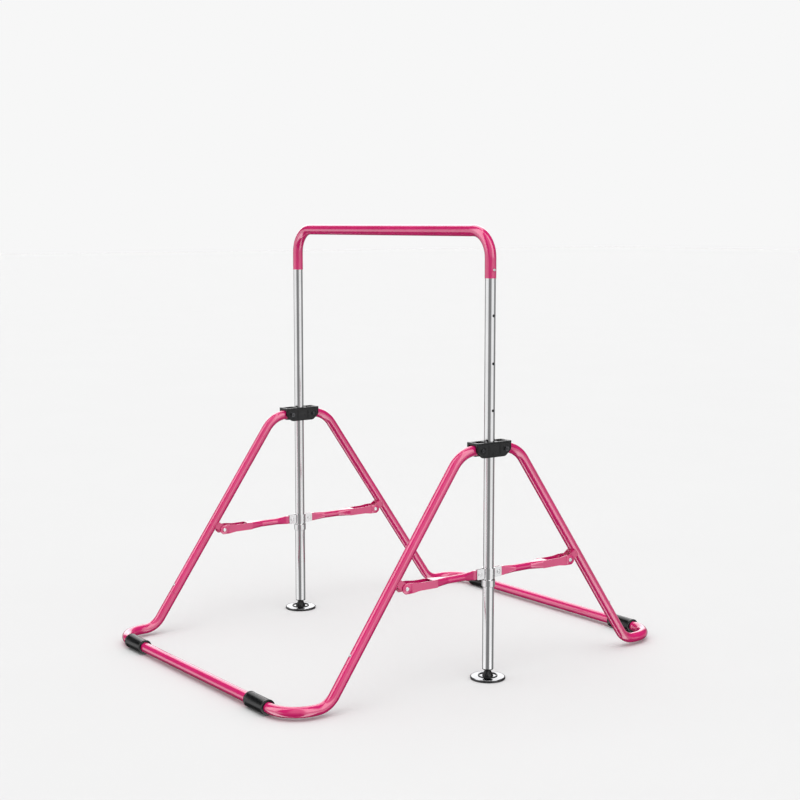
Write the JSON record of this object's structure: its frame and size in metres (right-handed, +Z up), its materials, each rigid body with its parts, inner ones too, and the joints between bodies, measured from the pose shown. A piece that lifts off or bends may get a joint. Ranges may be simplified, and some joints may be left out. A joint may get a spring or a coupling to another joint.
{
  "type": "kip bar",
  "caption": "Folding floor-standing gymnastics kip bar: a U-shaped bar on telescoping posts, carried by hinged A-frame legs with base rails, folding links and disc feet.",
  "frame": {"origin": "on the floor, in the middle of the footprint, under the middle of the bar", "axes": "+X along the bar towards the right A-frame, +Y across the A-frames towards the rear base rail, +Z up"},
  "size_m": [1.1546, 1.486, 1.3697],
  "materials": {
    "pink_coat": "glossy pink powder coat",
    "post_steel": "bright zinc-plated tube, satin",
    "bright_plate": "polished pressed steel",
    "zinc": "zinc-plated rivets and snap buttons",
    "black_bolt": "black oxide bolts and nuts",
    "spring_steel": "spring steel strip",
    "black_plastic": "black moulded nylon, fine grain",
    "black_sleeve": "black moulded sleeve, satin",
    "nylon": "natural nylon bush",
    "rubber": "black rubber"
  },
  "bodies": {
    "front_base": {"front_base_rail": "pink_coat", "front_left_sleeve": "black_sleeve", "front_right_sleeve": "black_sleeve"},
    "front_legs": {"front_left_upper_leg": "pink_coat", "front_left_lower_leg": "pink_coat", "front_right_upper_leg": "pink_coat", "front_right_lower_leg": "pink_coat", "front_leg_clips": "spring_steel", "front_leg_tabs": "pink_coat", "front_tab_pins": "zinc", "front_pivot_bushings": "nylon"},
    "post_frame": {"left_lower_post": "post_steel", "left_foot_plate": "bright_plate", "left_foot_pad": "rubber", "left_bracket_outer": "black_plastic", "left_bracket_inner": "black_plastic", "right_lower_post": "post_steel", "right_foot_plate": "bright_plate", "right_foot_pad": "rubber", "right_bracket_outer": "black_plastic", "right_bracket_inner": "black_plastic", "stop_rings": "post_steel", "foot_plugs": "black_plastic", "foot_flanges": "black_plastic", "pivot_bolts": "black_bolt", "pivot_nuts": "black_bolt", "lock_springs": "spring_steel"},
    "rear_legs": {"rear_left_upper_leg": "pink_coat", "rear_left_lower_leg": "pink_coat", "rear_right_upper_leg": "pink_coat", "rear_right_lower_leg": "pink_coat", "rear_leg_clips": "spring_steel", "rear_leg_tabs": "pink_coat", "rear_tab_pins": "zinc", "rear_pivot_bushings": "nylon"},
    "rear_base": {"rear_base_rail": "pink_coat", "rear_left_sleeve": "black_sleeve", "rear_right_sleeve": "black_sleeve"},
    "collars": {"left_collar": "post_steel", "right_collar": "post_steel", "collar_rivets": "zinc"},
    "front_links": {"front_left_link": "pink_coat", "front_right_link": "pink_coat", "front_link_rivets": "zinc"},
    "rear_links": {"rear_left_link": "pink_coat", "rear_right_link": "pink_coat", "rear_link_rivets": "zinc"},
    "upper_frame": {"top_bar": "pink_coat", "left_upper_post": "post_steel", "right_upper_post": "post_steel", "bar_button_clips": "spring_steel"},
    "left_lock_button": {"left_lock_button": "black_plastic"},
    "left_bar_button": {"left_bar_button": "zinc"},
    "front_left_leg_button": {"front_left_leg_button": "zinc"},
    "rear_left_leg_button": {"rear_left_leg_button": "zinc"},
    "right_lock_button": {"right_lock_button": "black_plastic"},
    "right_bar_button": {"right_bar_button": "zinc"},
    "front_right_leg_button": {"front_right_leg_button": "zinc"},
    "rear_right_leg_button": {"rear_right_leg_button": "zinc"}
  },
  "joints": [
    {"name": "fold", "type": "hinge", "parent": "front_base", "child": "front_legs", "pos_m": [0, -0.72, 0.023], "axis": [1, 0, 0], "range_deg": [0, 35]},
    {"name": "front_leg_pivot", "type": "hinge", "parent": "front_legs", "child": "post_frame", "pos_m": [0, -0.044, 0.705], "axis": [1, 0, 0], "range_deg": [-35, 0]},
    {"name": "rear_leg_pivot", "type": "hinge", "parent": "post_frame", "child": "rear_legs", "pos_m": [0, 0.044, 0.705], "axis": [1, 0, 0], "range_deg": [-35, 0]},
    {"name": "rear_rail_turn", "type": "hinge", "parent": "rear_legs", "child": "rear_base", "pos_m": [0, 0.72, 0.023], "axis": [1, 0, 0], "range_deg": [0, 35]},
    {"name": "collar_slide", "type": "slide", "parent": "post_frame", "child": "collars", "axis": [0, 0, 1], "range_m": [0, 0.19335]},
    {"name": "front_link_hinge", "type": "hinge", "parent": "collars", "child": "front_links", "pos_m": [0, -0.036, 0.327], "axis": [1, 0, 0], "range_deg": [0, 86.77]},
    {"name": "rear_link_hinge", "type": "hinge", "parent": "collars", "child": "rear_links", "pos_m": [0, 0.036, 0.327], "axis": [1, 0, 0], "range_deg": [-86.77, 0]},
    {"name": "height", "type": "slide", "parent": "post_frame", "child": "upper_frame", "axis": [0, 0, 1], "range_m": [-0.129, 0]},
    {"name": "left_lock_press", "type": "slide", "parent": "post_frame", "child": "left_lock_button", "axis": [1, 0, 0], "range_m": [0, 0.003], "stiffness_N_per_m": 800},
    {"name": "left_bar_button_press", "type": "slide", "parent": "upper_frame", "child": "left_bar_button", "axis": [1, 0, 0], "range_m": [0, 0.004], "stiffness_N_per_m": 800},
    {"name": "right_lock_press", "type": "slide", "parent": "post_frame", "child": "right_lock_button", "axis": [-1, 0, 0], "range_m": [0, 0.003], "stiffness_N_per_m": 800},
    {"name": "right_bar_button_press", "type": "slide", "parent": "upper_frame", "child": "right_bar_button", "axis": [-1, 0, 0], "range_m": [0, 0.004], "stiffness_N_per_m": 800},
    {"name": "front_left_leg_button_press", "type": "slide", "parent": "front_legs", "child": "front_left_leg_button", "axis": [0, 0.8192, -0.5736], "range_m": [0, 0.004], "stiffness_N_per_m": 800},
    {"name": "front_right_leg_button_press", "type": "slide", "parent": "front_legs", "child": "front_right_leg_button", "axis": [0, 0.8192, -0.5736], "range_m": [0, 0.004], "stiffness_N_per_m": 800},
    {"name": "rear_left_leg_button_press", "type": "slide", "parent": "rear_legs", "child": "rear_left_leg_button", "axis": [0, -0.8192, -0.5736], "range_m": [0, 0.004], "stiffness_N_per_m": 800},
    {"name": "rear_right_leg_button_press", "type": "slide", "parent": "rear_legs", "child": "rear_right_leg_button", "axis": [0, -0.8192, -0.5736], "range_m": [0, 0.004], "stiffness_N_per_m": 800}
  ],
  "couplings": [
    {"joint": "front_leg_pivot", "follows": "fold", "ratio": -1},
    {"joint": "rear_leg_pivot", "follows": "fold", "ratio": -1},
    {"joint": "rear_rail_turn", "follows": "fold", "ratio": 1},
    {"joint": "collar_slide", "follows": "fold", "m_per_rad": 0.31619},
    {"joint": "front_link_hinge", "follows": "fold", "ratio": 2.4762},
    {"joint": "rear_link_hinge", "follows": "fold", "ratio": -2.4762}
  ]
}
